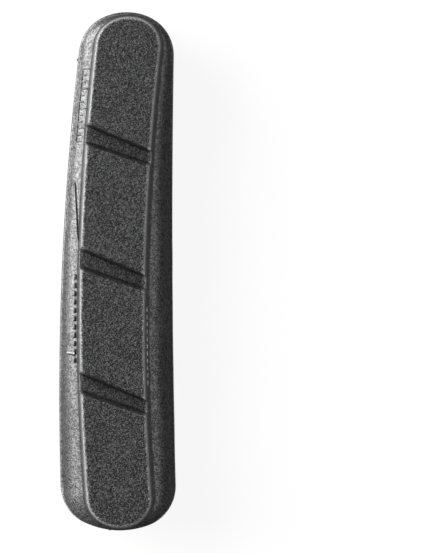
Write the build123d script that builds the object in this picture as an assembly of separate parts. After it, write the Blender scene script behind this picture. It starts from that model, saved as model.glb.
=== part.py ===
from build123d import *

import math
import os

# Rubber friction insert of a cartridge rim brake shoe, moulded in one piece.
# Millimetres and degrees. +Z points from the shoe to the rim, +Y to the narrow front end, and +X
# to the wheel's centre. The origin is on the back of the rail, at mid-length, under the rim arc.

# Length of the body, how far it laps past the friction land at its two ends, and the arc that
# the land follows, centred on the +X side
insert_length = 55.0
front_lap = 0.78
rear_lap = 0.57
rim_arc_radius = 246.5

# Heights from the back of the rail up to the friction face
flange_height = 1.9
slot_height = 1.5
side_wall_height = 1.2
shoulder_height = 2.2
land_height = 2.8

# Half-widths of the body, measured out from the rim arc on its two sides
convex_half_front = 5.25
convex_half_middle = 5.5
convex_half_rear = 6.3
concave_half_front = 4.65
concave_half_middle = 6.25
concave_half_rear = 5.9

# Ends of the body: how far each end bulges past its corners, and the corner rounds
body_front_rise = 2.7
body_rear_rise = 2.4
body_front_corner = 4.4
body_rear_corner = 4.4
side_wall_chamfer = 0.25

# Shoulder between the side wall and the land: its slope from level at the top and at the side
shoulder_top_angle = 16.0
shoulder_side_angle = 82.0
shoulder_sections = 5

# Friction land, measured at its face
land_width = 6.75
land_end_rise = 2.0
land_corner = 3.0
land_draft = 8.5
land_edge_round = 0.16

# Grooves across the land, splayed so that they are wider on the convex side
groove_count = 3
groove_pitch = 13.1
groove_width = 1.9
groove_depth = 1.8
groove_angle = 18.5
groove_splay = 2.3
groove_draft = 10.0
groove_root_round = 0.25
groove_overrun = 2.0

# Rail: the shoe's wall stands beside the flange, and its lips reach into the slot above it
shoe_wall = 1.4
lip_depth = 1.2
flange_chamfer = 0.3

# Levels worked out from the heights
ledge_level = flange_height + slot_height
shoulder_level = ledge_level + side_wall_height
land_level = shoulder_level + shoulder_height
face_level = land_level + land_height


def arc_point(along, out):
    """Point at a distance along the insert, and out from the rim arc on its convex side."""
    sag = rim_arc_radius - math.sqrt(rim_arc_radius**2 - along**2)
    return sag - out, along


class Plan:
    """Curved wedge with rounded ends. Pairs run front, rear, and triples front, middle, rear."""

    def __init__(self, convex, concave, reaches, rises, corners):
        self.convex = convex
        self.concave = concave
        self.reaches = reaches
        self.rises = rises
        self.corners = corners

    def grown(self, margin):
        """The plan offset outwards by a margin, or inwards by a negative one."""
        rises = []
        for end, rise in zip((0, -1), self.rises):
            half_chord = (self.convex[end] + self.concave[end]) / 2
            nose_radius = (half_chord**2 + rise**2) / (2 * rise) + margin
            rises.append(nose_radius - math.sqrt(nose_radius**2 - (half_chord + margin)**2))
        return Plan(
            [half + margin for half in self.convex],
            [half + margin for half in self.concave],
            [reach + margin for reach in self.reaches],
            rises,
            [corner + margin for corner in self.corners],
        )

    def blended(self, other, share):
        """The plan part of the way from this one to another."""
        def mix(mine, theirs):
            return [a + (b - a) * share for a, b in zip(mine, theirs)]

        return Plan(
            mix(self.convex, other.convex),
            mix(self.concave, other.concave),
            mix(self.reaches, other.reaches),
            mix(self.rises, other.rises),
            mix(self.corners, other.corners),
        )

    def face(self, level):
        """The plan as a face at a height."""
        front, rear = self.reaches
        stations = (front - self.rises[0], 0, self.rises[1] - rear)
        convex = [arc_point(along, half) for along, half in zip(stations, self.convex)]
        concave = [arc_point(along, -half) for along, half in zip(stations, self.concave)]
        front_tip = ((convex[0][0] + concave[0][0]) / 2, front)
        rear_tip = ((convex[-1][0] + concave[-1][0]) / 2, -rear)
        plan = make_face([
            ThreePointArc(*convex),
            ThreePointArc(convex[-1], rear_tip, concave[-1]),
            ThreePointArc(*reversed(concave)),
            ThreePointArc(concave[0], front_tip, convex[0]),
        ])
        plan = fillet(plan.vertices().filter_by_position(Axis.Y, 0, front), self.corners[0])
        plan = fillet(plan.vertices().filter_by_position(Axis.Y, -rear, 0), self.corners[1])
        return Pos(0, 0, level) * plan


half_length = insert_length / 2
body_plan = Plan(
    [convex_half_front, convex_half_middle, convex_half_rear],
    [concave_half_front, concave_half_middle, concave_half_rear],
    [half_length] * 2,
    [body_front_rise, body_rear_rise],
    [body_front_corner, body_rear_corner],
)
land_plan = Plan(
    [land_width / 2] * 3,
    [land_width / 2] * 3,
    [half_length - front_lap, half_length - rear_lap],
    [land_end_rise] * 2,
    [land_corner] * 2,
)
foot_plan = land_plan.grown(land_height * math.tan(math.radians(land_draft)))
flange_plan = body_plan.grown(-shoe_wall)


def rail():
    """Flange that the shoe's lips hold, and the neck inside the slot that takes the lips."""
    flange = extrude(flange_plan.face(0), flange_height)
    flange = chamfer(flange.edges().group_by(Axis.Z)[0], flange_chamfer)
    return flange + extrude(flange_plan.grown(-lip_depth).face(flange_height), slot_height)


def side_wall():
    """Upright wall of the body, over the ledge that meets the shoe's rim."""
    wall = extrude(body_plan.face(ledge_level), side_wall_height)
    return chamfer(wall.edges().group_by(Axis.Z)[0], side_wall_chamfer)


def land_block():
    """Friction land before it is grooved: it follows the rim arc, and its walls have draft."""
    block = extrude(land_plan.face(land_level), land_height)
    walls = block.faces().filter_by(Axis.Z, reverse=True)
    return draft(walls, Plane.XY.offset(face_level), land_draft)


def shoulder(foot):
    """Convex shoulder from the side wall in to the land's foot, lofted through blended plans."""
    top = math.radians(shoulder_top_angle)
    side = math.radians(shoulder_side_angle)
    sections = []
    for number in range(shoulder_sections - 1):
        slope = side + (top - side) * number / (shoulder_sections - 1)
        inward = (math.sin(side) - math.sin(slope)) / (math.sin(side) - math.sin(top))
        upward = (math.cos(slope) - math.cos(side)) / (math.cos(top) - math.cos(side))
        level = shoulder_level + shoulder_height * upward
        sections.append(body_plan.blended(foot_plan, inward).face(level))
    return loft(sections + [foot])


def groove_cutter():
    """One groove's cut, along X at its middle, with drafted and splayed walls."""
    half_run = land_width / 2 + groove_overrun
    spread = half_run * math.tan(math.radians(groove_splay))
    half_width = groove_width / 2 + groove_depth * math.tan(math.radians(groove_draft))
    wide = half_width + spread
    narrow = half_width - spread
    corners = [(-half_run, wide), (-half_run, -wide), (half_run, -narrow), (half_run, narrow)]
    wedge = extrude(make_face(Polyline(*corners, close=True)), 2 * groove_depth, taper=groove_draft)
    roots = wedge.edges().group_by(Axis.Z)[-1].filter_by(lambda edge: edge.length > half_run)
    return Pos(0, 0, groove_depth) * Rot(180, 0, 0) * fillet(roots, groove_root_round)


def grooved(block):
    """The land with its grooves cut and the edges of its face rounded."""
    for number in range(groove_count):
        along = (number - (groove_count - 1) / 2) * groove_pitch
        x, y = arc_point(along, 0)
        block -= Pos(x, y, face_level) * Rot(0, 0, -groove_angle) * groove_cutter()
    return fillet(block.edges().group_by(Axis.Z)[-1], land_edge_round)


land = land_block()
land_foot = land.faces().sort_by(Axis.Z)[0]
pad_insert = rail() + side_wall() + shoulder(land_foot) + grooved(land)

os.makedirs("parts", exist_ok=True)
export_step(pad_insert, "parts/pad_insert.step")
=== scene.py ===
import cmath
import math
from collections import namedtuple

import bmesh
import bpy
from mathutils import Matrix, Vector
from mathutils.kdtree import KDTree


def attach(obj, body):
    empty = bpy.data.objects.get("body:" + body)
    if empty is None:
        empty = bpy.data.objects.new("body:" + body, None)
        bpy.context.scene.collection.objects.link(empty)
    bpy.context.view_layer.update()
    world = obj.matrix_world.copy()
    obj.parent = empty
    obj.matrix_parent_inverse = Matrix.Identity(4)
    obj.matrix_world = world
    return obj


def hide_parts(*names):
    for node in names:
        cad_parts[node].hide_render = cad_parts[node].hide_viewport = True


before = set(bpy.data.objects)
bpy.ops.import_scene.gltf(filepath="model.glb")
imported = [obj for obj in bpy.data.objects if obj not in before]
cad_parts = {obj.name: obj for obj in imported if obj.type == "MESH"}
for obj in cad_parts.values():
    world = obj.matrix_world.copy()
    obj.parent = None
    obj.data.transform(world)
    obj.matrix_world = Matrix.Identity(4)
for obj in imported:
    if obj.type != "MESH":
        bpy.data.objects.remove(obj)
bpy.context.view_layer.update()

bl_info = {
    "name": "Brake pad insert",
    "version": (1, 0, 0),
    "blender": (4, 5, 0),
    "location": "View3D > Sidebar > Insert",
    "description": "Models and finishes a moulded rubber insert for a rim brake shoe",
    "category": "Add Mesh",
}

MM = 0.001
NODE = "pad_insert"
BODY = "root"
FLOOR_GAP = 0.02 * MM

# Points along one side, round one corner and across one end of every plan
SIDE_POINTS = 132
CORNER_POINTS = 22
END_POINTS = 22
PLAN_POINTS = 2 * SIDE_POINTS + 4 * CORNER_POINTS + 2 * END_POINTS

# Section of the parting bead, in shares of its width: how far in, how far up, and how much it wanders
BEAD = (
    (0.0, -0.66, 0.3),
    (0.02, -0.56, 0.7),
    (0.08, -0.44, 1.0),
    (0.18, -0.32, 0.8),
    (0.32, -0.21, 0.4),
    (0.5, -0.12, 0.0),
    (0.75, -0.05, 0.0),
    (0.92, -0.015, 0.0),
)

# Parting bead: how far below it the side wall stops, in widths of it, the share of its width that it
# loses where it fades, and how fast it fades to the rear and to the concave side
BEAD_DROP = 0.8
BEAD_LOSS = 0.75
REAR_FADE = 2.0
REAR_FADE_START = 0.1
CONCAVE_FADE = 0.9

# How the flash along the bead wanders: its mean, and the size, number and start of its waves
FLASH_MEAN = 0.6
FLASH_WAVES = ((0.2, 9, 1.3), (0.2, 23, 4.0))

# Rings of the side wall as shares of its height, and rings across the shoulder
WALL_PARTS = (0.3, 0.6, 0.85, 1.0)
SHOULDER_STEPS = 18

# The power by which the shoulder drops with its width: along the sides, and what it loses at the ends
SIDE_POWER = 1.45
END_POWER_LOSS = 0.55

# Rings of the land: up the hollow at its foot, up its wall and over its edge as shares, and on its face
HOLLOW_PARTS = (0.15, 0.3, 0.45, 0.6, 0.8, 1.0)
LAND_WALL_PARTS = (0.25, 0.5, 0.75)
EDGE_PARTS = (0.0, 0.15, 0.3, 0.45, 0.6, 0.8, 1.0)
FACE_MARGINS = (0.1 * MM, 0.22 * MM)

# Cut of a groove: the least round of its mouth, the slope in degrees at which the mouth leaves the face
# and how far it goes on, the cut's height over the face, and rings up a wall as shares
LEAST_MOUTH = 0.02 * MM
MOUTH_SLOPE = 6.0
MOUTH_SKIRT = 0.8 * MM
CUT_TOP = 0.6 * MM
GROOVE_WALL_PARTS = (0.12, 0.5)

# Ends of that cut: how far round they flare, in degrees, the flare's tail in end rounds, how far the cut
# goes on past the land, and the spans between its two ends
END_SWEEP = 80.0
END_TAIL = 1.5
CUT_REACH = 1.2 * MM
GROOVE_SPANS = 16

# Fine strands: the sides of their section, and their size at the two ends
STRAND_SIDES = 14
STRAND_TIP = 0.35

# Score line: shares of the way in to the land at its two ends, its bend, and its steps
LINE_SHARES = (0.56, 0.98)
LINE_BEND = 0.8
LINE_STEPS = 24

# Tick scale: its bar's share of the way in, the reach of its ticks, and its wear and painted highlight
SCALE_SHARE = 0.45
LONG_TICK = 0.5
SHORT_TICK = 0.3
LONG_TICK_EVERY = 3
SCALE_STEPS = 40
TICK_STEPS = 8
SCALE_WEAR_AND_HIGHLIGHT = 0.08

# Nib: shares of the way in, and its two strands, each as widths behind, size, wear and highlight, and
# painted shade
NIB_SHARES = (0.41, 0.89)
NIB_STEPS = 10
# The first strand is pale with painted highlight, the second a low dark line of painted shade
NIB_STRANDS = ((0.0, 1.0, 0.85, 0.0), (0.85, 0.5, 0.0, 1.0))

# Rows of dashes, each as piece, side, share of the way in, painted highlight, painted shade, roundness and
# tilt
DASH_ROWS = (
    # Convex side: a pale strand of painted highlight beside a dark strand of painted shade; concave side:
    # painted highlight
    ("dashes", -1, 0.79, 0.35, 0.0, 1.0, None),
    ("dashes", -1, 0.87, 0.0, 1.0, 1.0, None),
    ("foot_dashes", 1, 1.015, 1.0, 0.0, 0.4, math.radians(22.0)),
)
DASH_STEPS = 6

# Vent pips: their places, how far they stand out as a share, and the rings of one as reach and size
FRONT_PIP = complex(-4.6 * MM, 22.4 * MM)
REAR_PIP_ACROSS = 0.1 * MM
PIP_PROUD = (1.0, 0.55)
PIP_RINGS = ((-0.15 * MM, 1.0), (0.05 * MM, 1.0), (0.11 * MM, 0.85), (0.14 * MM, 0.5))
PIP_SIDES = 16

# Painted shade in a groove, as shares of the painted shade colour, the share of its depth where its roots
# start, and how much a wall has to face the front or the rear
ROOT_SHADE = 1.0
FRONT_WALL_SHADE = 0.6
REAR_WALL_SHADE = 0.15
FLOOR_SHADE = 0.4
ROOT_DEPTH = 0.86
WALL_FACING = 0.15

# Where grooves lie: inside the land's outline and at drops from the face
LAND_INSET = 0.1 * MM
GROOVE_TOP = 0.5 * MM
GROOVE_FLOOR = 2.5 * MM

# Painted highlight on the rear mouth of a groove, and where that mouth lies
MOUTH_PAINTED_HIGHLIGHT = 0.06
MOUTH_INSET = 0.55 * MM
MOUTH_TOP = 0.004 * MM
MOUTH_FLOOR = 0.12 * MM
MOUTH_FACING = 0.1

# Wear and painted highlight on the land's rim, as shares of the pale colour: all round, and what each side
# adds
RIM_WEAR_AND_HIGHLIGHT = 0.5
CONCAVE_WEAR_AND_LIGHT = 0.5
CONVEX_WEAR_AND_HIGHLIGHT = -0.06

# Wear and painted light down the land's wall: at its edge, what the concave side loses, and its fading
# drop
WALL_WEAR_AND_LIGHT = 0.85
CONCAVE_LOSS = 0.25
WEAR_AND_LIGHT_DROP = 2.4 * MM
CONCAVE_DROP = 3.6 * MM

# Painted light in the hollow at the land's foot on the concave side: its height, share and reach
HOLLOW_HEIGHT = 0.25 * MM
HOLLOW_PAINTED_LIGHT = 0.18
HOLLOW_REACH = 0.5 * MM

# Wear and painted highlight on the face: how far in from its outline it is whole, and over how much more
# it fades
FACE_WEAR_AND_HIGHLIGHT = 0.1 * MM
FACE_FADE = 0.2 * MM

# Painted shade on the shoulder beside the land's foot on the convex side: its share, height and reach
FOOT_SHADE = 0.45
FOOT_SHADE_HEIGHT = 0.1 * MM
FOOT_SHADE_REACH = 0.6 * MM

# Mould grain: the small cells' fineness, each size's share of the height, and the contrasts
CELL_SMOOTHNESS = 0.3
FINE_CELLS = 2.1
COARSE_SHARE = 0.75
FINE_SHARE = 0.25
CLOUD_SCALE = 420.0
CLOUD_DETAIL = 3.0
SPECK_CONTRAST = 4.8
CLOUD_CONTRAST = 0.4
DARKEST_TONE = 0.12
GLOSS_CONTRAST = 3.0

# Rubber: refraction, the polish of the foot dashes, and how height and the wear and highlight paint change
# the surface
FILM_IOR = 1.9
FLANK_IOR = 1.6
LAND_IOR = 1.45
POLISHED_IOR = 2.0
POLISHED_ROUGHNESS = 0.14
ROUGHNESS_SPREAD = 0.1
WEAR_POLISH = 0.8
SHARPEST = math.radians(40.0)

# Stage, in metres: the floor, the lamps' sizes and places, and the camera's film in millimetres
FLOOR_SIZE = 1.6
FLOOR_ROUGHNESS = 0.9
KEY_SIZE = (0.44, 0.42)
KEY_PLACE = (-0.401, 0.158, 0.254)
FILL_SIZE = (0.5, 0.07)
FILL_PLACE = (0.34, 0.0, 0.366)
FILM_WIDTH = 36.0
NEAREST = 0.01
FARTHEST = 20.0

# Height of the photograph in pixels, and the millimetres of the friction face that a pixel covers
PHOTO_HEIGHT = 553
MM_PER_PIXEL = 0.105

# One grade of rubber: its colour, mottle, roughness and film, its grain's size and depth, its refraction
Grade = namedtuple("Grade", "base mottle roughness film grain depth ior")


def length(name, millimetres, text):
    """A length that the user can change."""
    return bpy.props.FloatProperty(
        name=name, description=text, default=millimetres * MM, unit="LENGTH", precision=5)


def turn(name, degrees, text):
    """An angle that the user can change."""
    return bpy.props.FloatProperty(
        name=name, description=text, default=math.radians(degrees), subtype="ANGLE")


def share(name, value, text):
    """A number from nought to one that the user can change."""
    return bpy.props.FloatProperty(
        name=name, description=text, default=value, min=0.0, max=1.0, subtype="FACTOR")


def colour(name, value, text):
    """A linear colour that the user can change."""
    return bpy.props.FloatVectorProperty(
        name=name, description=text, default=value, size=3, min=0.0, max=1.0, subtype="COLOR")


class InsertShape(bpy.types.PropertyGroup):
    """Sizes of the moulding."""

    half_length: length("Half length", 27.5, "From mid-length to either end of the body")
    rim_arc: length("Rim arc", 246.5, "Radius of the arc that the friction land follows")

    flange_top: length("Flange top", 1.9, "Height of the rail's flange")
    ledge: length("Ledge", 3.4, "Height of the ledge that meets the shoe's rim")
    land_base: length("Land base", 6.8, "Height of the friction land's foot")
    face: length("Face", 9.6, "Height of the friction face")

    convex_front: length(
        "Convex side, front", 5.25, "From the rim arc to the convex side near the front")
    convex_middle: length(
        "Convex side, middle", 5.5, "From the rim arc to the convex side at mid-length")
    convex_rear: length("Convex side, rear", 6.3, "From the rim arc to the convex side near the rear")
    concave_front: length(
        "Concave side, front", 4.65, "From the rim arc to the concave side near the front")
    concave_middle: length(
        "Concave side, middle", 6.25, "From the rim arc to the concave side at mid-length")
    concave_rear: length("Concave side, rear", 5.9, "From the rim arc to the concave side near the rear")
    front_rise: length("Front rise", 2.7, "How far the front end bulges past its corners")
    rear_rise: length("Rear rise", 2.4, "How far the rear end bulges past its corners")
    body_corner: length("Body corner", 4.4, "Corner rounds of the body, seen from above")

    shoe_wall: length("Shoe wall", 1.4, "How far the flange stands inside the body's outline")
    lip_depth: length("Lip depth", 1.2, "Depth of the slot that takes the shoe's lips")
    rail_round: length("Rail round", 0.3, "Round of the rail's back edge")
    slot_round: length("Slot round", 0.1, "Rounds of the slot's edges and roots")
    wall_round: length("Wall round", 0.25, "Round of the side wall's lower edge")
    wall_upright: length("Upright wall", 4.6, "Height up to which the side wall stands upright")
    wall_draft: turn("Wall draft", 3.2, "How far the side wall leans in above that")

    shoulder_top: turn("Shoulder top", 16.0, "Slope of the shoulder beside the land")
    shoulder_side: turn("Shoulder side", 82.0, "Slope of a whole shoulder beside the side wall")
    shoulder_width: length("Shoulder width", 2.4, "Width of a whole shoulder")
    shoulder_height: length("Shoulder height", 2.11, "Height of a whole shoulder")
    bead: length("Bead", 0.27, "Width of the parting bead along the side wall's top")

    land_convex: length(
        "Land, convex side", 3.375, "From the rim arc to the convex edge of the friction face")
    land_concave: length(
        "Land, concave side", 3.43, "From the rim arc to the concave edge of the friction face")
    front_lap: length("Front lap", 0.78, "From the front end of the land to that of the body")
    rear_lap: length("Rear lap", 0.57, "From the rear end of the land to that of the body")
    land_rise: length("Land rise", 2.0, "How far the land's ends bulge past their corners")
    land_corner: length("Land corner", 3.0, "Corner rounds of the land, seen from above")
    convex_draft: turn("Convex draft", 6.5, "Draft of the land's wall on the convex side")
    concave_draft: turn("Concave draft", 4.6, "Draft of the land's wall on the concave side")
    land_edge: length("Land edge", 0.26, "Round of the edges of the friction face")
    foot_round: length("Foot round", 0.32, "Hollow round where the land meets the shoulder")


class GrooveShape(bpy.types.PropertyGroup):
    """Sizes of the grooves across the land."""

    count: bpy.props.IntProperty(name="Grooves", description="Number of grooves", default=3, min=1)
    pitch: length("Pitch", 13.1, "From one groove to the next, along the insert")
    width: length("Width", 1.9, "Width of a groove at the face, at its middle")
    depth: length("Depth", 1.8, "Depth of a groove")
    slant: turn("Slant", 19.6, "Slant of a groove to the width of the insert")
    splay: turn("Splay", 1.9, "How much each wall of a groove opens towards the convex side")
    front_draft: turn("Front draft", 5.0, "Draft of a groove's front wall")
    rear_draft: turn("Rear draft", 9.5, "Draft of a groove's rear wall")
    root: length("Root round", 0.22, "Round where a groove's floor meets its walls")
    front_mouth: length("Front mouth", 0.36, "Round where a groove's front wall meets the face")
    rear_mouth: length("Rear mouth", 0.16, "Round where a groove's rear wall meets the face")
    end: length("End round", 0.1, "Round where a groove runs out through the land's wall")


class MouldMarks(bpy.types.PropertyGroup):
    """Sizes of the small marks that the mould leaves."""

    flash: length("Flash", 0.035, "How far the parting bead wanders out of the side wall")
    scale_front: length("Scale front", 21.3, "Front end of the tick scale, from mid-length")
    scale_rear: length("Scale rear", 13.6, "Rear end of the tick scale, from mid-length")
    scale_ticks: bpy.props.IntProperty(name="Ticks", description="Ticks on the scale", default=12, min=2)
    scale_stroke: length("Scale stroke", 0.17, "Width of the tick scale's strokes")
    scale_height: length("Scale height", 0.12, "Height of the tick scale's strokes")
    line_front: length(
        "Line front", 9.4, "Front end of the fine line cut in the shoulder, from mid-length")
    line_rear: length("Line rear", 3.0, "Rear end of the fine line cut in the shoulder, from mid-length")
    line_width: length("Line width", 0.26, "Width of the fine line cut in the shoulder")
    line_depth: length("Line depth", 0.22, "Depth of the fine line cut in the shoulder")
    nib_along: length("Nib place", -8.68, "Place of the short nib on the shoulder, from mid-length")
    nib_slant: length("Nib slant", 0.14, "How far the nib's inner end lies behind its outer end")
    nib_width: length("Nib width", 0.25, "Width of the nib")
    nib_height: length("Nib height", 0.2, "Height of the nib")
    dash_count: bpy.props.IntProperty(name="Dashes", description="Dashes in each row", default=11, min=2)
    dash_run: length("Dash run", 8.8, "Length of the row of dashes on the convex side")
    foot_run: length("Foot dash run", 7.7, "Length of the row of dashes on the concave side")
    dash_length: length("Dash length", 0.62, "Length of a dash")
    dash_width: length("Dash width", 0.2, "Width of a dash")
    dash_height: length("Dash height", 0.13, "Height of a dash")
    convex_dashes: length(
        "Convex dashes", -0.4, "Front end of the row on the convex side, from mid-length")
    concave_dashes: length(
        "Concave dashes", -3.7, "Front end of the row on the concave side, from mid-length")
    pip: length("Vent pip", 0.14, "Radius of the pips that the mould's vents leave")


class RubberFinish(bpy.types.PropertyGroup):
    """Colour and surface of the rubber."""

    rubber: colour("Rubber", (0.044, 0.044, 0.045), "Colour of the friction land's rubber")
    flank: colour("Flank", (0.062, 0.062, 0.063), "Colour of the smoother rubber below the land")
    # Pale colour of rubbed edges, also used as painted highlight on rims, walls, groove mouths and marks
    rubbed: colour("Rubbed edge", (0.52, 0.52, 0.522), "Colour of edges that handling has rubbed")
    # Painted shade: dark colour standing in for shade in groove roots, the cut line, dark strands and
    # beside the foot
    recess: colour("Recess", (0.008, 0.008, 0.008), "Colour down in the grooves' roots and the cut line")
    grain: length("Grain", 0.19, "Size of the mould's grain")
    flank_grain: length("Flank grain", 0.15, "Size of the mould's grain on the flanks")
    grain_depth: length("Grain depth", 0.135, "Depth of the mould's grain")
    land_mottle: share("Land mottle", 1.0, "How much the land's tone varies with the grain")
    flank_mottle: share("Flank mottle", 0.6, "How much the flanks' tone varies with the grain")
    flank_depth: length("Flank grain depth", 0.034, "Depth of the mould's grain on the flanks")
    land_film: share("Land film", 0.12, "Strength of the glossy film on the land's grains")
    flank_film: share("Flank film", 1.0, "Strength of the glossy film on the flanks' grains")
    film_roughness: share("Film roughness", 0.42, "Roughness of the glossy film")
    land_roughness: share("Land roughness", 0.62, "Roughness of the land between its grains")
    flank_roughness: share("Flank roughness", 0.3, "Roughness of the flanks between their grains")


class StageSettings(bpy.types.PropertyGroup):
    """Floor, lamps and camera."""

    floor: colour("Floor", (0.15, 0.15, 0.15), "Colour of the floor")
    key_power: bpy.props.FloatProperty(
        name="Key", description="Power of the lamp on the convex side",
        default=5.0, min=0.0, unit="POWER")
    fill_power: bpy.props.FloatProperty(
        name="Fill", description="Power of the lamp on the concave side",
        default=0.42, min=0.0, unit="POWER")
    sky: share("Sky", 0.03, "Strength of the even light from all round")
    floor_white: share(
        "Floor white", 0.9, "White that the camera sees in the floor besides the light on it")
    reflected_white: share("Reflected white", 0.03, "How much of that white reflections see")
    camera_height: length("Camera height", 450.0, "From the friction face to the camera")
    camera_side: length("Camera side", 10.67, "How far the camera stands to the concave side")
    camera_along: length("Camera along", -0.36, "How far the camera stands to the front")
    camera_roll: turn("Camera roll", 1.19, "Turn of the camera about its view")


# Plans, as complex numbers: the real part is across the insert and the imaginary part along it

def dot(a, b):
    """Dot product of two plan vectors."""
    return (a * b.conjugate()).real


def circle_through(a, b, c):
    """Centre and radius of the circle through three points."""
    ratio = (c - a) / (b - a)
    centre = a + (b - a) * (ratio - abs(ratio)**2) / (2j * ratio.imag)
    return centre, abs(a - centre)


def corner_centre(first, second, radius, corner):
    """Centre of the round that joins two arcs, each a centre, a radius and which way it bulges."""
    (centre_a, radius_a, bulge_a), (centre_b, radius_b, bulge_b) = first, second
    reach_a = radius_a - bulge_a * radius
    reach_b = radius_b - bulge_b * radius
    apart = abs(centre_b - centre_a)
    axis = (centre_b - centre_a) / apart
    along = (reach_a**2 - reach_b**2 + apart**2) / (2 * apart)
    across = math.sqrt(reach_a**2 - along**2)
    choices = [centre_a + axis * (along + side * across) for side in (1j, -1j)]
    return min(choices, key=lambda choice: abs(choice - corner))


def touch(arc, centre):
    """Point where an arc meets a corner round."""
    out = (centre - arc[0]) / abs(centre - arc[0])
    return arc[0] + out * arc[1]


def swept(centre, start, end, bulge, count):
    """Points of an arc with their outward directions, without the last one."""
    sweep = cmath.phase((end - centre) / (start - centre))
    points = []
    for number in range(count):
        spoke = (start - centre) * cmath.rect(1, sweep * number / count)
        points.append((centre + spoke, bulge * spoke / abs(spoke)))
    return points


def plan(rim_arc, convex, concave, reaches, rises, corners):
    """Outline of a curved wedge with rounded ends, from its convex side's front round by the rear."""
    stations = [reaches[0] - rises[0], 0.0, rises[1] - reaches[1]]
    sags = [rim_arc - math.sqrt(rim_arc**2 - along**2) for along in stations]
    left = [complex(sag - half, along) for sag, half, along in zip(sags, convex, stations)]
    right = [complex(sag + half, along) for sag, half, along in zip(sags, concave, stations)]
    front_tip = complex((left[0] + right[0]).real / 2, reaches[0])
    rear_tip = complex((left[2] + right[2]).real / 2, -reaches[1])
    hollow = -1 if right[1].real < (right[0] + right[2]).real / 2 else 1
    arcs = [
        (*circle_through(*left), 1),
        (*circle_through(left[2], rear_tip, right[2]), 1),
        (*circle_through(*right), hollow),
        (*circle_through(right[0], front_tip, left[0]), 1),
    ]
    bends = [
        (left[2], corners[1]),
        (right[2], corners[1]),
        (right[0], corners[0]),
        (left[0], corners[0]),
    ]
    counts = [SIDE_POINTS, END_POINTS, SIDE_POINTS, END_POINTS]
    rounds = []
    for number, (corner, radius) in enumerate(bends):
        rounds.append(corner_centre(arcs[number], arcs[(number + 1) % 4], radius, corner))
    outline = []
    for number, arc in enumerate(arcs):
        start = touch(arc, rounds[number - 1])
        end = touch(arc, rounds[number])
        onward = touch(arcs[(number + 1) % 4], rounds[number])
        outline += swept(arc[0], start, end, arc[2], counts[number])
        outline += swept(rounds[number], end, onward, 1, CORNER_POINTS)
    return outline


def body_plan(shape):
    """Outline of the body at its side wall."""
    return plan(
        shape.rim_arc,
        [shape.convex_front, shape.convex_middle, shape.convex_rear],
        [shape.concave_front, shape.concave_middle, shape.concave_rear],
        [shape.half_length] * 2,
        [shape.front_rise, shape.rear_rise],
        [shape.body_corner] * 2,
    )


def land_plan(shape):
    """Outline of the friction land at its face."""
    return plan(
        shape.rim_arc,
        [shape.land_convex] * 3,
        [shape.land_concave] * 3,
        [shape.half_length - shape.front_lap, shape.half_length - shape.rear_lap],
        [shape.land_rise] * 2,
        [shape.land_corner] * 2,
    )


def land_lean(shape, out):
    """How far the land's wall leans out for each unit that it drops, where it faces a direction."""
    convex = math.tan(shape.convex_draft)
    concave = math.tan(shape.concave_draft)
    return convex + (concave - convex) * (1 + out.real) / 2


def foot_plan(shape):
    """Outline of the friction land at its foot."""
    drop = shape.face - shape.land_base
    return [(place + out * drop * land_lean(shape, out), out) for place, out in land_plan(shape)]


def ring(outline, margin, level):
    """Ring of points at a height, a margin outside an outline."""
    points = [place + out * margin for place, out in outline]
    return [(point.real, point.imag, level) for point in points]


def between(low, high, part):
    """Ring part of the way from one ring to another."""
    return [tuple(a + (b - a) * part for a, b in zip(p, q)) for p, q in zip(low, high)]


def bent(low, knee, high, part):
    """Ring on a curve that leaves one ring towards the knee and arrives at the other from it."""
    return between(between(low, knee, part), between(knee, high, part), part)


def quarter(steps, first=0.0, last=90.0):
    """Angles spread over a quarter turn, or over part of one."""
    return [math.radians(first + (last - first) * step / steps) for step in range(steps + 1)]


def rail_rings(shape, body):
    """Rings of the rail: its rounded back edge, its flange, and the neck up to the ledge."""
    flange = -shape.shoe_wall
    neck = flange - shape.lip_depth
    small = shape.slot_round
    rings = []
    for angle in quarter(4):
        inset = shape.rail_round * (1 - math.sin(angle))
        rings.append(ring(body, flange - inset, shape.rail_round * (1 - math.cos(angle))))
    for angle in quarter(3):
        inset = small * (1 - math.cos(angle))
        rings.append(ring(body, flange - inset, shape.flange_top - small * (1 - math.sin(angle))))
    for angle in quarter(3):
        margin = neck + small * (1 - math.sin(angle))
        rings.append(ring(body, margin, shape.flange_top + small * (1 - math.cos(angle))))
    for angle in quarter(3):
        margin = neck + small * (1 - math.cos(angle))
        rings.append(ring(body, margin, shape.ledge - small * (1 - math.sin(angle))))
    return rings


def shoulder_edge(shape, outer, foot):
    """Slope and level of the shoulder's lower edge: where it is narrow, only its top is left."""
    lowest = math.sin(shape.shoulder_side)
    highest = math.sin(shape.shoulder_top)
    edge = []
    for (place, out), (inner, _) in zip(outer, foot):
        part = dot(place - inner, out) / shape.shoulder_width
        slope = math.asin(highest + (lowest - highest) * min(part, 1.0))
        power = SIDE_POWER - END_POWER_LOSS * out.imag**2
        edge.append((slope, shape.land_base - shape.shoulder_height * part**power))
    return edge


def wall_lean(shape, level):
    """How far the side wall leans in at a height."""
    return max(level - shape.wall_upright, 0.0) * math.tan(shape.wall_draft)


def bead_width(shape, out):
    """Width of the parting bead, which shows most on the convex side and in front."""
    to_rear = -REAR_FADE * out.imag - REAR_FADE_START
    fade = min(max(to_rear, CONCAVE_FADE * out.real, 0.0), 1.0)
    return shape.bead * (1.0 - BEAD_LOSS * fade)


def flash_wave(number):
    """How far the flash along the bead wanders at one of the plan's points, as a share."""
    around = 2 * math.pi * number / PLAN_POINTS
    return FLASH_MEAN + sum(size * math.sin(count * around + start) for size, count, start in FLASH_WAVES)


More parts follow.
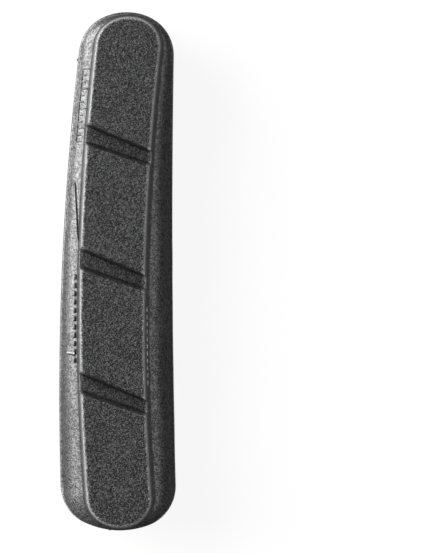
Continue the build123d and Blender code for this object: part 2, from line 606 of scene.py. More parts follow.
def wall_rings(shape, marks, body, edge):
    """Rings of the side wall, up to the uneven bead that the mould's parting leaves along its top."""
    rings = []
    for angle in quarter(5):
        inset = shape.wall_round * (1 - math.sin(angle))
        rings.append(ring(body, -inset, shape.ledge + shape.wall_round * (1 - math.cos(angle))))
    foot = shape.ledge + shape.wall_round
    for part in WALL_PARTS:
        points = []
        for (place, out), (_, level) in zip(body, edge):
            head = level - BEAD_DROP * bead_width(shape, out)
            height = foot + (head - foot) * part
            point = place - out * wall_lean(shape, height)
            points.append((point.real, point.imag, height))
        rings.append(points)
    for share_in, share_up, proud in BEAD:
        points = []
        for number, ((place, out), (_, level)) in enumerate(zip(body, edge)):
            width = bead_width(shape, out)
            flash = marks.flash * proud * flash_wave(number)
            point = place - out * (width * share_in + wall_lean(shape, level) - flash)
            points.append((point.real, point.imag, level + width * share_up))
        rings.append(points)
    return rings


def shoulder_rings(shape, outer, foot, edge):
    """Rings of the convex shoulder, which flattens from the parting bead in to the land's foot."""
    top = shape.shoulder_top
    rings = []
    for step in range(SHOULDER_STEPS + 1):
        points = []
        for (place, _), (inner, _), (side, base) in zip(outer, foot, edge):
            slope = side + (top - side) * step / SHOULDER_STEPS
            inward = (math.sin(side) - math.sin(slope)) / (math.sin(side) - math.sin(top))
            upward = (math.cos(slope) - math.cos(side)) / (math.cos(top) - math.cos(side))
            point = place + (inner - place) * inward
            points.append((point.real, point.imag, base + (shape.land_base - base) * upward))
        rings.append(points)
    return rings


def land_wall(shape, land, level):
    """Ring of the land's drafted wall at a height."""
    drop = shape.face - level
    points = [place + out * drop * land_lean(shape, out) for place, out in land]
    return [(point.real, point.imag, level) for point in points]


def land_rings(shape, land, foot_ring, shoulder_ring):
    """Rings of the land: a hollow round at its foot, its drafted wall, and its rounded edge."""
    low = shape.land_base + shape.foot_round
    high = shape.face - shape.land_edge
    hollow_top = land_wall(shape, land, low)
    edge_foot = land_wall(shape, land, high)
    knee = ring(land, 0.0, shape.face)
    rim = ring(land, -shape.land_edge, shape.face)
    rings = [bent(shoulder_ring, foot_ring, hollow_top, part) for part in HOLLOW_PARTS]
    for part in LAND_WALL_PARTS:
        rings.append(land_wall(shape, land, low + (high - low) * part))
    for part in EDGE_PARTS:
        rings.append(bent(edge_foot, knee, rim, part))
    for margin in FACE_MARGINS:
        rings.append(ring(land, -shape.land_edge - margin, shape.face))
    return rings


def moulding_rings(shape, marks):
    """All the rings of the moulding, from the rail's back up to the friction face."""
    body = body_plan(shape)
    foot = foot_plan(shape)
    upright = [(place - out * bead_width(shape, out), out) for place, out in body]
    edge = shoulder_edge(shape, upright, foot)
    outer = []
    for (place, out), (_, level) in zip(upright, edge):
        outer.append((place - out * wall_lean(shape, level), out))
    shoulder = shoulder_rings(shape, outer, foot, edge)
    foot_ring = shoulder.pop()
    # The hollow at the land's foot takes the place of the next ring
    shoulder.pop()
    rings = rail_rings(shape, body) + wall_rings(shape, marks, body, edge) + shoulder
    return rings + land_rings(shape, land_plan(shape), foot_ring, shoulder[-1])


def groove_side(shape, half, growth, draft, mouth):
    """Half of a groove's cut as across and down pairs, from its floor up one wall and past the face."""
    corner = math.tan((math.pi / 2 - draft) / 2)
    depth = shape.depth + growth
    root = shape.root + growth
    mouth = max(mouth - growth, LEAST_MOUTH)
    edge = half + growth / math.cos(draft)
    floor_edge = edge - depth * math.tan(draft)
    steep = 90.0 - math.degrees(draft)
    slope = math.radians(MOUTH_SLOPE)
    side = []
    for angle in quarter(6, 0.0, steep):
        across = floor_edge - root * corner + root * math.sin(angle)
        side.append((across, depth - root * (1 - math.cos(angle))))
    low = side[-1]
    high = (edge + mouth * corner - mouth * math.cos(draft), mouth * (1 - math.sin(draft)))
    for part in GROOVE_WALL_PARTS:
        side.append(tuple(a + (b - a) * part for a, b in zip(low, high)))
    for angle in quarter(7, steep, MOUTH_SLOPE):
        side.append((edge + mouth * corner - mouth * math.sin(angle), mouth * (1 - math.cos(angle))))
    across, down = side[-1]
    across += MOUTH_SKIRT * math.cos(slope)
    side.append((across, down - MOUTH_SKIRT * math.sin(slope)))
    side.append((across, -CUT_TOP))
    return side


def groove_section(shape, half, growth):
    """Section of a groove's cut as across and down pairs, grown all round where the groove runs out."""
    front = groove_side(shape, half, growth, shape.front_draft, shape.front_mouth)
    rear = groove_side(shape, half, growth, shape.rear_draft, shape.rear_mouth)
    return front + [(-across, down) for across, down in reversed(rear)]


def wall_beside(land, middle, run, side):
    """Place and outward direction of the land's outline where a groove's middle line meets it."""
    beside = [pair for pair in land if side * dot(pair[0] - middle, run) > 0]
    return min(beside, key=lambda pair: abs(dot(pair[0] - middle, run * 1j)))


def groove_rings(shape, grooves, number):
    """Rings of one groove's cut, from beyond the concave side of the land to beyond its convex side."""
    land = land_plan(shape)
    along = (number - (grooves.count - 1) / 2) * grooves.pitch
    middle = complex(shape.rim_arc - math.sqrt(shape.rim_arc**2 - along**2), along)
    run = cmath.rect(1, -grooves.slant)
    sweep = quarter(5, 0.0, END_SWEEP)
    steps = []
    for angle in sweep:
        steps.append((grooves.end * (1 - math.sin(angle)), grooves.end * (1 - math.cos(angle))))
    inset, growth = steps[-1]
    tail = END_TAIL * grooves.end
    growth += tail * math.sin(sweep[-1])
    steps.append((inset - tail * math.cos(sweep[-1]), growth))
    steps.append((-CUT_REACH, growth))

    def end_ring(wall, inset, growth):
        """Ring of the cut at a distance inside the land's wall, grown by the flare."""
        place, out = wall
        half = grooves.width / 2 - dot(place - middle, run) * math.tan(grooves.splay)
        points = []
        for across, down in groove_section(grooves, half, growth):
            start = middle + run * 1j * across
            reach = down * land_lean(shape, out) - inset - dot(start - place, out)
            point = start + run * reach / dot(run, out)
            points.append((point.real, point.imag, shape.face - down))
        return points

    concave_wall = wall_beside(land, middle, run, 1)
    convex_wall = wall_beside(land, middle, run, -1)
    concave = [end_ring(concave_wall, *step) for step in reversed(steps)]
    convex = [end_ring(convex_wall, *step) for step in steps]
    inner = [between(concave[-1], convex[0], step / GROOVE_SPANS) for step in range(1, GROOVE_SPANS)]
    return concave + inner + convex


# Modelling

def deselect():
    """Leave nothing selected, so that an operator acts on its own piece only."""
    bpy.ops.object.select_all(action="DESELECT")


def lay(piece, points):
    """Lay the selected ring of a piece in edit mode on points, by each vertex's place round the ring."""
    mesh = bmesh.from_edit_mesh(piece.data)
    around = mesh.verts.layers.int["around"]
    for vertex in mesh.verts:
        if vertex.select:
            vertex.co = points[vertex[around]]
    bmesh.update_edit_mesh(piece.data)


def skin(name, rings):
    """Closed skin through rings: a filled circle laid on the first one and extruded to the rest."""
    deselect()
    count = len(rings[0])
    bpy.ops.mesh.primitive_circle_add(vertices=count, radius=MM, fill_type="NGON")
    piece = bpy.context.object
    piece.name = name
    piece.data.name = name
    around = piece.data.attributes.new("around", "INT", "POINT")
    around.data.foreach_set("value", list(range(count)))
    bpy.ops.object.mode_set(mode="EDIT")
    bpy.ops.mesh.select_all(action="SELECT")
    lay(piece, rings[0])
    for points in rings[1:]:
        bpy.ops.mesh.extrude_region_move()
        lay(piece, points)
    bpy.ops.mesh.select_all(action="SELECT")
    bpy.ops.mesh.normals_make_consistent(inside=False)
    bpy.ops.object.mode_set(mode="OBJECT")
    piece.data.attributes.remove(piece.data.attributes["around"])
    return piece


def joined(name, pieces):
    """One object made of several."""
    deselect()
    for piece in pieces:
        piece.select_set(True)
    bpy.context.view_layer.objects.active = pieces[0]
    bpy.ops.object.join()
    pieces[0].name = name
    pieces[0].data.name = name
    return pieces[0]


def carve(piece, cutter):
    """Cut one object out of another."""
    cut = piece.modifiers.new("carve", "BOOLEAN")
    cut.operation = "DIFFERENCE"
    cut.solver = "EXACT"
    cut.object = cutter
    bpy.context.view_layer.objects.active = piece
    bpy.ops.object.modifier_apply(modifier=cut.name)
    bpy.data.objects.remove(cutter)


def smooth(piece):
    """Smooth shading, apart from sharp edges, that keeps flat faces flat."""
    deselect()
    piece.select_set(True)
    bpy.context.view_layer.objects.active = piece
    bpy.ops.object.shade_smooth_by_angle(angle=SHARPEST)
    weighted = piece.modifiers.new("weighted", "WEIGHTED_NORMAL")
    weighted.keep_sharp = True
    bpy.ops.object.modifier_apply(modifier=weighted.name)


def dress(piece, *materials):
    """Give a piece its materials, and let it ride on the insert."""
    piece.data.materials.clear()
    for material in materials:
        piece.data.materials.append(material)
    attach(piece, BODY)


def settled(moulding, point):
    """Place and outward direction of the moulding's surface under a plan point."""
    bpy.context.view_layer.update()
    hit, place, out, _ = moulding.ray_cast((point.real, point.imag, 0.05), (0, 0, -1))
    if not hit:
        raise RuntimeError("A mark lies off the moulding")
    return place, out


def squared(value, power):
    """A sine or cosine pushed out from nought, which squares a round section where the power is small."""
    return math.copysign(abs(value)**power, value)


def strand(moulding, path, width, height, roundness=1.0, tilt=None):
    """Fine closed strand along a path on the surface, narrowed at both ends.

    Roundness below one flattens its top, which faces as the surface does or tilts to the concave side.
    """
    spots = [settled(moulding, point) for point in path]
    if tilt is not None:
        facing = Vector((math.sin(tilt), 0.0, math.cos(tilt)))
        spots = [(place, facing) for place, _ in spots]
    rings = []
    for number, (place, out) in enumerate(spots):
        before = spots[max(number - 1, 0)][0]
        after = spots[min(number + 1, len(spots) - 1)][0]
        side = out.cross((after - before).normalized())
        size = STRAND_TIP if number in (0, len(spots) - 1) else 1.0
        points = []
        for step in range(STRAND_SIDES):
            angle = 2 * math.pi * step / STRAND_SIDES
            across = width / 2 * size * squared(math.cos(angle), roundness)
            up = height * size * squared(math.sin(angle), roundness)
            points.append(place + side * across + out * up)
        rings.append(points)
    return skin("strand", rings)


def abreast(outline, along, side):
    """Point of an outline and its outward direction, at a distance along its convex or concave side."""
    for (first, out), (second, _) in zip(outline, outline[1:]):
        part = (along - first.imag) / (second.imag - first.imag)
        if out.real * side > 0 and 0 <= part <= 1:
            return first + (second - first) * part, out
    raise RuntimeError("The place lies past the end of the outline")


def flank_path(shape, ends, shares, steps, side=-1, bend=1.0):
    """Path of plan points on the shoulder, between two distances along one of its sides.

    The shares say how much of the way in to the land's foot it lies at its two ends.
    """
    body = body_plan(shape)
    foot = foot_plan(shape)
    path = []
    for step in range(steps + 1):
        part = step / steps
        along = ends[0] + (ends[1] - ends[0]) * part
        inward = shares[0] + (shares[1] - shares[0]) * part**bend
        low, _ = abreast(body, along, side)
        high, _ = abreast(foot, along, side)
        path.append(low + (high - low) * inward)
    return path


def tint(piece, **strengths):
    """Mark a piece all over with the strengths of its tints."""
    for name, strength in strengths.items():
        attribute = piece.data.attributes.new(name, "FLOAT", "POINT")
        attribute.data.foreach_set("value", [strength] * len(piece.data.vertices))


def land_finder(shape):
    """Function that tells how far inside the land's outline a point lies, and how the outline faces."""
    outline = land_plan(shape)
    near = KDTree(len(outline))
    for number, (place, _) in enumerate(outline):
        near.insert((place.real, place.imag, shape.face), number)
    near.balance()

    def find(point):
        """Distance inside the outline, and the outline's outward direction."""
        place, out = outline[near.find(point)[1]]
        return dot(place - complex(point.x, point.y), out), out

    return find


def foot_distance(shape, inset, out):
    """How far outside the land's foot a point lies, from how far it lies inside the face's outline."""
    return -inset - (shape.face - shape.land_base) * land_lean(shape, out)


def rim_wear_and_highlight(shape, height, inset, out):
    """How much wear and painted highlight a point gets: most on the land's rim, and less down its wall."""
    concave = max(out.real, 0.0)
    drop = shape.face - height
    # The concave side gets more of the pale paint, as painted light
    side_wear_and_light = RIM_WEAR_AND_HIGHLIGHT + (CONCAVE_WEAR_AND_LIGHT if out.real > 0 else CONVEX_WEAR_AND_HIGHLIGHT) * out.real
    on_wall = 1.0
    if drop > shape.land_edge:
        fade = drop / (WEAR_AND_LIGHT_DROP + CONCAVE_DROP * concave)
        on_wall = max(0.0, WALL_WEAR_AND_LIGHT - CONCAVE_LOSS * concave - fade)
    # Painted light in the hollow at the land's foot on the concave side
    if height < shape.land_base + HOLLOW_HEIGHT:
        beside = max(foot_distance(shape, inset, out), 0.0)
        on_wall = HOLLOW_PAINTED_LIGHT * concave * max(0.0, 1.0 - beside / HOLLOW_REACH)
    on_face = max(0.0, 1.0 - max(inset - FACE_WEAR_AND_HIGHLIGHT, 0.0) / FACE_FADE)
    return side_wear_and_light * on_wall * on_face


def foot_shade(shape, height, inset, out):
    """How much painted shade the shoulder gets beside the land's foot, on the convex side."""
    beside = foot_distance(shape, inset, out)
    if height >= shape.land_base + FOOT_SHADE_HEIGHT or not 0.0 < beside < FOOT_SHADE_REACH:
        return 0.0
    return FOOT_SHADE * (1.0 - max(out.real, 0.0)) * (1.0 - beside / FOOT_SHADE_REACH)


def groove_shade(facing, depth):
    """How much painted shade a groove gets, by how far it faces the front and by its share of the depth.
    """
    if abs(facing) <= WALL_FACING:
        return FLOOR_SHADE
    if depth > ROOT_DEPTH:
        return ROOT_SHADE
    return REAR_WALL_SHADE if facing > 0 else FRONT_WALL_SHADE


def found(name):
    """A piece that an earlier operator made."""
    if name not in bpy.data.objects:
        raise RuntimeError(f"{name} has not been made yet")
    return bpy.data.objects[name]


# Finish

def add_node(tree, kind, place, **settings):
    """Node of a kind at a place in a tree, with its settings."""
    node = tree.nodes.new(kind)
    node.location = place
    for name, value in settings.items():
        setattr(node, name, value)
    return node


def arithmetic(tree, operation, place, first, second):
    """Math node on two values, each a socket or a number."""
    node = add_node(tree, "ShaderNodeMath", place, operation=operation)
    for socket, value in zip(node.inputs, (first, second)):
        if isinstance(value, bpy.types.NodeSocket):
            tree.links.new(value, socket)
        else:
            socket.default_value = value
    return node.outputs[0]


def grain_group():
    """Node group of the mould's grain: a height for bump, a tone about one, and where the film shines."""
    tree = bpy.data.node_groups.new("mould_grain", "ShaderNodeTree")
    tree.interface.new_socket("Grain", in_out="INPUT", socket_type="NodeSocketFloat")
    tree.interface.new_socket("Mottle", in_out="INPUT", socket_type="NodeSocketFloat")
    tree.interface.new_socket("Height", in_out="OUTPUT", socket_type="NodeSocketFloat")
    tree.interface.new_socket("Tone", in_out="OUTPUT", socket_type="NodeSocketFloat")
    tree.interface.new_socket("Gloss", in_out="OUTPUT", socket_type="NodeSocketFloat")
    entry = add_node(tree, "NodeGroupInput", (-900, 0))
    leave = add_node(tree, "NodeGroupOutput", (700, 0))
    place = add_node(tree, "ShaderNodeTexCoord", (-900, 300)).outputs["Object"]
    fineness = arithmetic(tree, "DIVIDE", (-700, 0), 1.0, entry.outputs["Grain"])

    levels = []
    for row, finer in ((250, 1.0), (0, FINE_CELLS)):
        scale = arithmetic(tree, "MULTIPLY", (-600, row), fineness, finer)
        cells = add_node(tree, "ShaderNodeTexVoronoi", (-450, row), feature="SMOOTH_F1")
        cells.inputs["Smoothness"].default_value = CELL_SMOOTHNESS
        tree.links.new(place, cells.inputs["Vector"])
        tree.links.new(scale, cells.inputs["Scale"])
        split = add_node(tree, "ShaderNodeSeparateColor", (-250, row))
        tree.links.new(cells.outputs["Color"], split.inputs["Color"])
        levels.append(split.outputs["Red"])
    coarse = arithmetic(tree, "MULTIPLY", (-50, 250), levels[0], COARSE_SHARE)
    fine = arithmetic(tree, "MULTIPLY", (-50, 50), levels[1], FINE_SHARE)
    height = arithmetic(tree, "ADD", (120, 150), coarse, fine)
    tree.links.new(height, leave.inputs["Height"])

    clouds = add_node(tree, "ShaderNodeTexNoise", (-450, -250))
    clouds.inputs["Scale"].default_value = CLOUD_SCALE
    clouds.inputs["Detail"].default_value = CLOUD_DETAIL
    tree.links.new(place, clouds.inputs["Vector"])
    speck = arithmetic(tree, "SUBTRACT", (200, 0), levels[1], 0.5)
    speck = arithmetic(tree, "MULTIPLY", (350, 0), speck, entry.outputs["Mottle"])
    speck = arithmetic(tree, "MULTIPLY", (450, 0), speck, SPECK_CONTRAST)
    cloud = arithmetic(tree, "SUBTRACT", (0, -250), clouds.outputs["Fac"], 0.5)
    cloud = arithmetic(tree, "MULTIPLY", (150, -250), cloud, CLOUD_CONTRAST)
    tone = arithmetic(tree, "ADD", (500, -150), speck, cloud)
    tone = arithmetic(tree, "ADD", (600, -150), tone, 1.0)
    tone = arithmetic(tree, "MAXIMUM", (650, -250), tone, DARKEST_TONE)
    tree.links.new(tone, leave.inputs["Tone"])

    gloss = arithmetic(tree, "SUBTRACT", (200, 350), height, 0.5)
    gloss = arithmetic(tree, "MULTIPLY", (350, 350), gloss, GLOSS_CONTRAST)
    gloss = arithmetic(tree, "ADD", (450, 350), gloss, 0.5)
    clamp = add_node(tree, "ShaderNodeClamp", (550, 350))
    tree.links.new(gloss, clamp.inputs["Value"])
    tree.links.new(clamp.outputs["Result"], leave.inputs["Gloss"])
    return tree


def rubber_material(name, finish, grain, grade):
    """Rubber with the mould's grain, paler with wear and painted highlight, darker and duller with painted
    shade.
    """
    material = bpy.data.materials.new(name)
    material.use_nodes = True
    tree = material.node_tree
    shader = tree.nodes["Principled BSDF"]
    shader.inputs["IOR"].default_value = grade.ior
    shader.inputs["Coat IOR"].default_value = FILM_IOR
    shader.inputs["Coat Roughness"].default_value = finish.film_roughness

    pattern = add_node(tree, "ShaderNodeGroup", (-900, 0), node_tree=grain)
    pattern.inputs["Grain"].default_value = grade.grain
    pattern.inputs["Mottle"].default_value = grade.mottle
    rubbed = add_node(tree, "ShaderNodeAttribute", (-900, 300), attribute_name="rubbed").outputs["Fac"]
    recess = add_node(tree, "ShaderNodeAttribute", (-900, 500), attribute_name="recess").outputs["Fac"]

    # Pale paint for wear and painted highlight, then dark paint for painted shade
    pale = add_node(tree, "ShaderNodeMix", (-600, 300), data_type="RGBA")
    pale.inputs["A"].default_value = (*grade.base, 1.0)
    pale.inputs["B"].default_value = (*finish.rubbed, 1.0)
    tree.links.new(rubbed, pale.inputs["Factor"])
    dark = add_node(tree, "ShaderNodeMix", (-400, 300), data_type="RGBA")
    dark.inputs["B"].default_value = (*finish.recess, 1.0)
    tree.links.new(recess, dark.inputs["Factor"])
    tree.links.new(pale.outputs["Result"], dark.inputs["A"])
    toned = add_node(tree, "ShaderNodeVectorMath", (-200, 300), operation="SCALE")
    tree.links.new(dark.outputs["Result"], toned.inputs["Vector"])
    even = add_node(tree, "ShaderNodeMix", (-400, 100), data_type="FLOAT")
    even.inputs["B"].default_value = 1.0
    tree.links.new(rubbed, even.inputs["Factor"])
    tree.links.new(pattern.outputs["Tone"], even.inputs["A"])
    tree.links.new(even.outputs["Result"], toned.inputs["Scale"])
    tree.links.new(toned.outputs["Vector"], shader.inputs["Base Color"])

    rough = arithmetic(tree, "MULTIPLY", (-600, -150), pattern.outputs["Height"], -ROUGHNESS_SPREAD)
    rough = arithmetic(tree, "ADD", (-250, -50), rough, grade.roughness + ROUGHNESS_SPREAD / 2)
    tree.links.new(rough, shader.inputs["Roughness"])

    if grade.film > 0.0:
        # Painted shade also takes the film's gloss away
        dulled = arithmetic(tree, "SUBTRACT", (-700, -200), 1.0, recess)
        coat = arithmetic(tree, "MULTIPLY", (-450, -180), pattern.outputs["Gloss"], grade.film)
        coat = arithmetic(tree, "MULTIPLY", (-250, -180), coat, dulled)
        tree.links.new(coat, shader.inputs["Coat Weight"])

    if grade.depth > 0.0:
        bump = add_node(tree, "ShaderNodeBump", (-250, -300))
        bump.inputs["Strength"].default_value = 1.0
        bump.inputs["Distance"].default_value = grade.depth
        polish = arithmetic(tree, "MULTIPLY", (-900, -400), rubbed, -WEAR_POLISH)
        polish = arithmetic(tree, "ADD", (-700, -400), polish, 1.0)
        relief = arithmetic(tree, "MULTIPLY", (-450, -350), pattern.outputs["Height"], polish)
        tree.links.new(relief, bump.inputs["Height"])
        tree.links.new(bump.outputs["Normal"], shader.inputs["Normal"])
    return material


def floor_material(settings):
    """Pale floor that the camera sees as white, with the object's shadow kept."""
    material = bpy.data.materials.new("pale_floor")
    material.use_nodes = True
    tree = material.node_tree
    shader = tree.nodes["Principled BSDF"]
    shader.inputs["Base Color"].default_value = (*settings.floor, 1.0)
    shader.inputs["Roughness"].default_value = FLOOR_ROUGHNESS
    shader.inputs["Specular IOR Level"].default_value = 0.0
    seen = seen_white(tree, settings.reflected_white)
    white = add_node(tree, "ShaderNodeEmission", (0, -300))
    part = arithmetic(tree, "MULTIPLY", (-150, 200), seen, settings.floor_white)
    tree.links.new(part, white.inputs["Strength"])
    both = add_node(tree, "ShaderNodeAddShader", (300, 100))
    tree.links.new(shader.outputs["BSDF"], both.inputs[0])
    tree.links.new(white.outputs["Emission"], both.inputs[1])
    tree.links.new(both.outputs["Shader"], tree.nodes["Material Output"].inputs["Surface"])
    return material


def seen_white(tree, reflected):
    """One for a ray from the camera, a part for one that gloss or glass passes on, or else nought."""
    path = add_node(tree, "ShaderNodeLightPath", (-900, 300))
    passed = arithmetic(
        tree, "MAXIMUM", (-650, 200), path.outputs["Is Glossy Ray"], path.outputs["Is Transmission Ray"])
    passed = arithmetic(tree, "MULTIPLY", (-450, 200), passed, reflected)
    return arithmetic(tree, "MAXIMUM", (-250, 300), path.outputs["Is Camera Ray"], passed)


def soft_lamp(name, power, size, place):
    """Rectangular soft lamp at a place, turned to the insert."""
    deselect()
    bpy.ops.object.light_add(type="AREA", location=place)
    lamp = bpy.context.object
    lamp.name = name
    lamp.data.shape = "RECTANGLE"
    lamp.data.size, lamp.data.size_y = size
    lamp.data.energy = power
    lamp.rotation_euler = (-Vector(place)).to_track_quat("-Z", "Y").to_euler()


class INSERT_OT_moulding(bpy.types.Operator):
    """Model the moulding through rings, from the rail's back up to the friction face"""

    bl_idname = "insert.moulding"
    bl_label = "Moulding"

    def execute(self, context):
        scene = context.scene
        moulding = skin("moulding", moulding_rings(scene.insert_shape, scene.insert_marks))
        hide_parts(NODE)
        return {"FINISHED"}


class INSERT_OT_grooves(bpy.types.Operator):
    """Cut the slanted grooves across the friction land"""

    bl_idname = "insert.grooves"
    bl_label = "Grooves"

    def execute(self, context):
        scene = context.scene
        grooves = scene.insert_grooves
        cutters = []
        for number in range(grooves.count):
            cutters.append(skin("groove", groove_rings(scene.insert_shape, grooves, number)))
        carve(found("moulding"), joined("grooves", cutters))
        return {"FINISHED"}


class INSERT_OT_score_line(bpy.types.Operator):
    """Cut the fine line that runs down the shoulder to the land's foot"""

    bl_idname = "insert.score_line"
    bl_label = "Score line"

    def execute(self, context):
        shape = context.scene.insert_shape
        marks = context.scene.insert_marks
        moulding = found("moulding")
        ends = (marks.line_front, marks.line_rear)
        path = flank_path(shape, ends, LINE_SHARES, LINE_STEPS, bend=LINE_BEND)
        cutter = strand(moulding, path, marks.line_width, marks.line_depth)
        # The cut's walls carry painted shade, so the fine line is dark; the rest starts with none
        tint(moulding, recess=0.0)
        tint(cutter, recess=1.0)
        carve(moulding, cutter)
        return {"FINISHED"}


class INSERT_OT_tick_scale(bpy.types.Operator):
    """Model the raised tick scale on the shoulder: a fine bar with plain ticks"""

    bl_idname = "insert.tick_scale"
    bl_label = "Tick scale"

    def execute(self, context):
        shape = context.scene.insert_shape
        marks = context.scene.insert_marks
        moulding = found("moulding")
        ends = (marks.scale_front, marks.scale_rear)
        paths = [flank_path(shape, ends, (SCALE_SHARE, SCALE_SHARE), SCALE_STEPS)]
        for tick in range(marks.scale_ticks):
            along = ends[0] + (ends[1] - ends[0]) * tick / (marks.scale_ticks - 1)
            reach = LONG_TICK if tick % LONG_TICK_EVERY == 0 else SHORT_TICK
            shares = (SCALE_SHARE, SCALE_SHARE + reach)
            paths.append(flank_path(shape, (along, along), shares, TICK_STEPS))
        strokes = [strand(moulding, path, marks.scale_stroke, marks.scale_height) for path in paths]
        # A little pale paint on the strokes, for wear and a painted highlight on their tops
        tint(joined("tick_scale", strokes), rubbed=SCALE_WEAR_AND_HIGHLIGHT)
        return {"FINISHED"}


class INSERT_OT_nib(bpy.types.Operator):
    """Model the short raised nib across the shoulder: a pale strand of painted highlight and a dark one of
    painted shade
    """

    bl_idname = "insert.nib"
    bl_label = "Nib"

    def execute(self, context):
        shape = context.scene.insert_shape
        marks = context.scene.insert_marks
        moulding = found("moulding")
        strands = []
        for behind, size, rubbed, recess in NIB_STRANDS:
            along = marks.nib_along - behind * marks.nib_width
            path = flank_path(shape, (along, along - marks.nib_slant), NIB_SHARES, NIB_STEPS)
            piece = strand(moulding, path, marks.nib_width * size, marks.nib_height * size)
            tint(piece, rubbed=rubbed, recess=recess)
            strands.append(piece)
        joined("nib", strands)
        return {"FINISHED"}


class INSERT_OT_dashes(bpy.types.Operator):
    """Model the rows of plain raised dashes: painted highlight and shade on the convex side, painted
    highlight on the concave
    """

    bl_idname = "insert.dashes"
    bl_label = "Dashes"

    def execute(self, context):
        shape = context.scene.insert_shape
        marks = context.scene.insert_marks
        moulding = found("moulding")
        spans = {-1: (marks.convex_dashes, marks.dash_run), 1: (marks.concave_dashes, marks.foot_run)}
        pieces = {}
        for name, side, inward, rubbed, recess, roundness, tilt in DASH_ROWS:
            front, run = spans[side]
            for number in range(marks.dash_count):
                start = front - run * number / (marks.dash_count - 1)
                ends = (start, start - marks.dash_length)
                path = flank_path(shape, ends, (inward, inward), DASH_STEPS, side)
                dash = strand(moulding, path, marks.dash_width, marks.dash_height, roundness, tilt)
                tint(dash, rubbed=rubbed, recess=recess)
                pieces.setdefault(name, []).append(dash)
        for name, dashes in pieces.items():
            joined(name, dashes)
        return {"FINISHED"}


class INSERT_OT_vent_pips(bpy.types.Operator):
    """Model the pips that the mould's vents leave on the parting line"""

    bl_idname = "insert.vent_pips"
    bl_label = "Vent pips"

    def execute(self, context):
        shape = context.scene.insert_shape
        marks = context.scene.insert_marks
        body = body_plan(shape)
        edge = shoulder_edge(shape, body, foot_plan(shape))
        spots = (FRONT_PIP, complex(REAR_PIP_ACROSS, -shape.half_length))
        pips = []
        for spot, proud in zip(spots, PIP_PROUD):
            number = min(range(PLAN_POINTS), key=lambda point: abs(body[point][0] - spot))
            place, out = body[number]
            level = edge[number][1] - marks.pip
            place -= out * wall_lean(shape, level)
            rings = []
            for reach, size in PIP_RINGS:
                middle = place + out * reach * proud
                points = []
                for step in range(PIP_SIDES):
                    spoke = cmath.rect(marks.pip * size, 2 * math.pi * step / PIP_SIDES)
                    point = middle + out * 1j * spoke.real
                    points.append((point.real, point.imag, level + spoke.imag))
                rings.append(points)
            pips.append(skin("pip", rings))
        joined("vent_pips", pips)
        return {"FINISHED"}


class INSERT_OT_rubber(bpy.types.Operator):
    """Finish every piece in grained rubber, with wear and painted highlight at the face's edges and
    painted shade in recesses
    """

    bl_idname = "insert.rubber"
    bl_label = "Rubber"

    def execute(self, context):
        shape = context.scene.insert_shape
        grooves = context.scene.insert_grooves
        finish = context.scene.insert_finish
        grain = grain_group()
        body = rubber_material("moulded_rubber", finish, grain, Grade(
            finish.flank, finish.flank_mottle, finish.flank_roughness, finish.flank_film,
            finish.flank_grain, finish.flank_depth, FLANK_IOR))
        land = rubber_material("land_rubber", finish, grain, Grade(
            finish.rubber, finish.land_mottle, finish.land_roughness, finish.land_film,
            finish.grain, finish.grain_depth, LAND_IOR))
        # The concave foot dashes: pale paint with a sharp gloss, a painted highlight
        polished_highlight = rubber_material("polished_highlight_rubber", finish, grain, Grade(
            finish.rubbed, 0.0, POLISHED_ROUGHNESS, 0.0, finish.flank_grain, 0.0, POLISHED_IOR))
        coats = {
            "moulding": (body, land),
            "foot_dashes": (polished_highlight,),
            "tick_scale": (body,),
            "nib": (body,),
            "dashes": (body,),
            "vent_pips": (body,),
        }
        for name, materials in coats.items():
            smooth(found(name))
            dress(found(name), *materials)

        mesh = found("moulding").data
        on_land = land_finder(shape)
        rubbed = []
        recess = [0.0] * len(mesh.vertices)
        mesh.attributes["recess"].data.foreach_get("value", recess)
        for number, vertex in enumerate(mesh.vertices):
            height = vertex.co.z
            drop = shape.face - height
            facing = vertex.normal.y
            inset, out = on_land(vertex.co)
            # Wear and painted highlight on the rim, the land's wall and the hollow at its foot
            rubbed.append(rim_wear_and_highlight(shape, height, inset, out))
            # Painted shade on the shoulder beside the land's foot
            recess[number] = max(recess[number], foot_shade(shape, height, inset, out))
            # Painted shade down in the grooves
            if inset > LAND_INSET and GROOVE_TOP < drop < GROOVE_FLOOR:
                recess[number] = groove_shade(facing, drop / grooves.depth)
            # Painted highlight on the grooves' rear mouths
            if inset > MOUTH_INSET and MOUTH_TOP < drop < MOUTH_FLOOR and facing > MOUTH_FACING:
                rubbed[number] = MOUTH_PAINTED_HIGHLIGHT
        mesh.attributes.new("rubbed", "FLOAT", "POINT").data.foreach_set("value", rubbed)
        mesh.attributes["recess"].data.foreach_set("value", recess)
        for face in mesh.polygons:
            above_foot = face.center.z > shape.land_base + shape.foot_round
            face.material_index = 1 if above_foot and on_land(face.center)[0] > LAND_INSET else 0
        return {"FINISHED"}


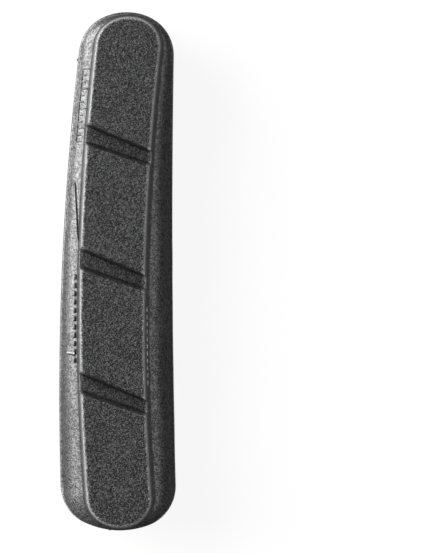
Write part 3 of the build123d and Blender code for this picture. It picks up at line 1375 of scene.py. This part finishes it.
class INSERT_OT_stage(bpy.types.Operator):
    """Set the pale floor, the soft lamps, the sky and the camera"""

    bl_idname = "insert.stage"
    bl_label = "Stage"

    def execute(self, context):
        scene = context.scene
        settings = scene.insert_stage
        shape = scene.insert_shape
        deselect()
        bpy.ops.mesh.primitive_plane_add(size=FLOOR_SIZE, location=(0, 0, -FLOOR_GAP))
        bpy.ops.object.transform_apply(location=True, rotation=False, scale=False)
        floor = context.object
        floor.name = "floor"
        floor.data.materials.append(floor_material(settings))

        soft_lamp("key", settings.key_power, KEY_SIZE, KEY_PLACE)
        soft_lamp("fill", settings.fill_power, FILL_SIZE, FILL_PLACE)

        world = bpy.data.worlds.new("sky")
        world.use_nodes = True
        scene.world = world
        tree = world.node_tree
        even = tree.nodes["Background"]
        even.inputs["Color"].default_value = (1.0, 1.0, 1.0, 1.0)
        even.inputs["Strength"].default_value = settings.sky
        white = add_node(tree, "ShaderNodeBackground", (0, -200))
        white.inputs["Color"].default_value = (1.0, 1.0, 1.0, 1.0)
        mix = add_node(tree, "ShaderNodeMixShader", (250, 0))
        tree.links.new(seen_white(tree, settings.reflected_white), mix.inputs["Fac"])
        tree.links.new(even.outputs["Background"], mix.inputs[1])
        tree.links.new(white.outputs["Background"], mix.inputs[2])
        tree.links.new(mix.outputs["Shader"], tree.nodes["World Output"].inputs["Surface"])

        deselect()
        bpy.ops.object.camera_add()
        camera = context.object
        camera.name = "camera"
        above = shape.face + settings.camera_height
        camera.location = (settings.camera_side, settings.camera_along, above)
        camera.rotation_euler = (0.0, 0.0, settings.camera_roll)
        camera.data.sensor_width = FILM_WIDTH
        view_height = PHOTO_HEIGHT * MM_PER_PIXEL * MM
        camera.data.lens = FILM_WIDTH * settings.camera_height / view_height
        camera.data.clip_start = NEAREST
        camera.data.clip_end = FARTHEST
        scene.camera = camera
        scene.view_settings.view_transform = "Standard"
        return {"FINISHED"}


OPERATORS = (
    INSERT_OT_moulding,
    INSERT_OT_grooves,
    INSERT_OT_score_line,
    INSERT_OT_tick_scale,
    INSERT_OT_nib,
    INSERT_OT_dashes,
    INSERT_OT_vent_pips,
    INSERT_OT_rubber,
    INSERT_OT_stage,
)


class INSERT_PT_panel(bpy.types.Panel):
    """Buttons for the insert's pieces, in the order that they are made"""

    bl_idname = "INSERT_PT_panel"
    bl_label = "Brake pad insert"
    bl_space_type = "VIEW_3D"
    bl_region_type = "UI"
    bl_category = "Insert"

    def draw(self, context):
        for operator in OPERATORS:
            self.layout.operator(operator.bl_idname)


SETTINGS = {
    "insert_shape": InsertShape,
    "insert_grooves": GrooveShape,
    "insert_marks": MouldMarks,
    "insert_finish": RubberFinish,
    "insert_stage": StageSettings,
}


def register():
    """Register the settings, the operators and the panel."""
    for name, group in SETTINGS.items():
        bpy.utils.register_class(group)
        setattr(bpy.types.Scene, name, bpy.props.PointerProperty(type=group))
    for operator in OPERATORS:
        bpy.utils.register_class(operator)
    bpy.utils.register_class(INSERT_PT_panel)


def unregister():
    """Undo register."""
    bpy.utils.unregister_class(INSERT_PT_panel)
    for operator in reversed(OPERATORS):
        bpy.utils.unregister_class(operator)
    for name, group in reversed(SETTINGS.items()):
        delattr(bpy.types.Scene, name)
        bpy.utils.unregister_class(group)


def main():
    """Make the pieces in order."""
    register()
    bpy.ops.insert.moulding()
    bpy.ops.insert.grooves()
    bpy.ops.insert.score_line()
    bpy.ops.insert.tick_scale()
    bpy.ops.insert.nib()
    bpy.ops.insert.dashes()
    bpy.ops.insert.vent_pips()
    bpy.ops.insert.rubber()
    bpy.ops.insert.stage()


if __name__ == "__main__":
    main()
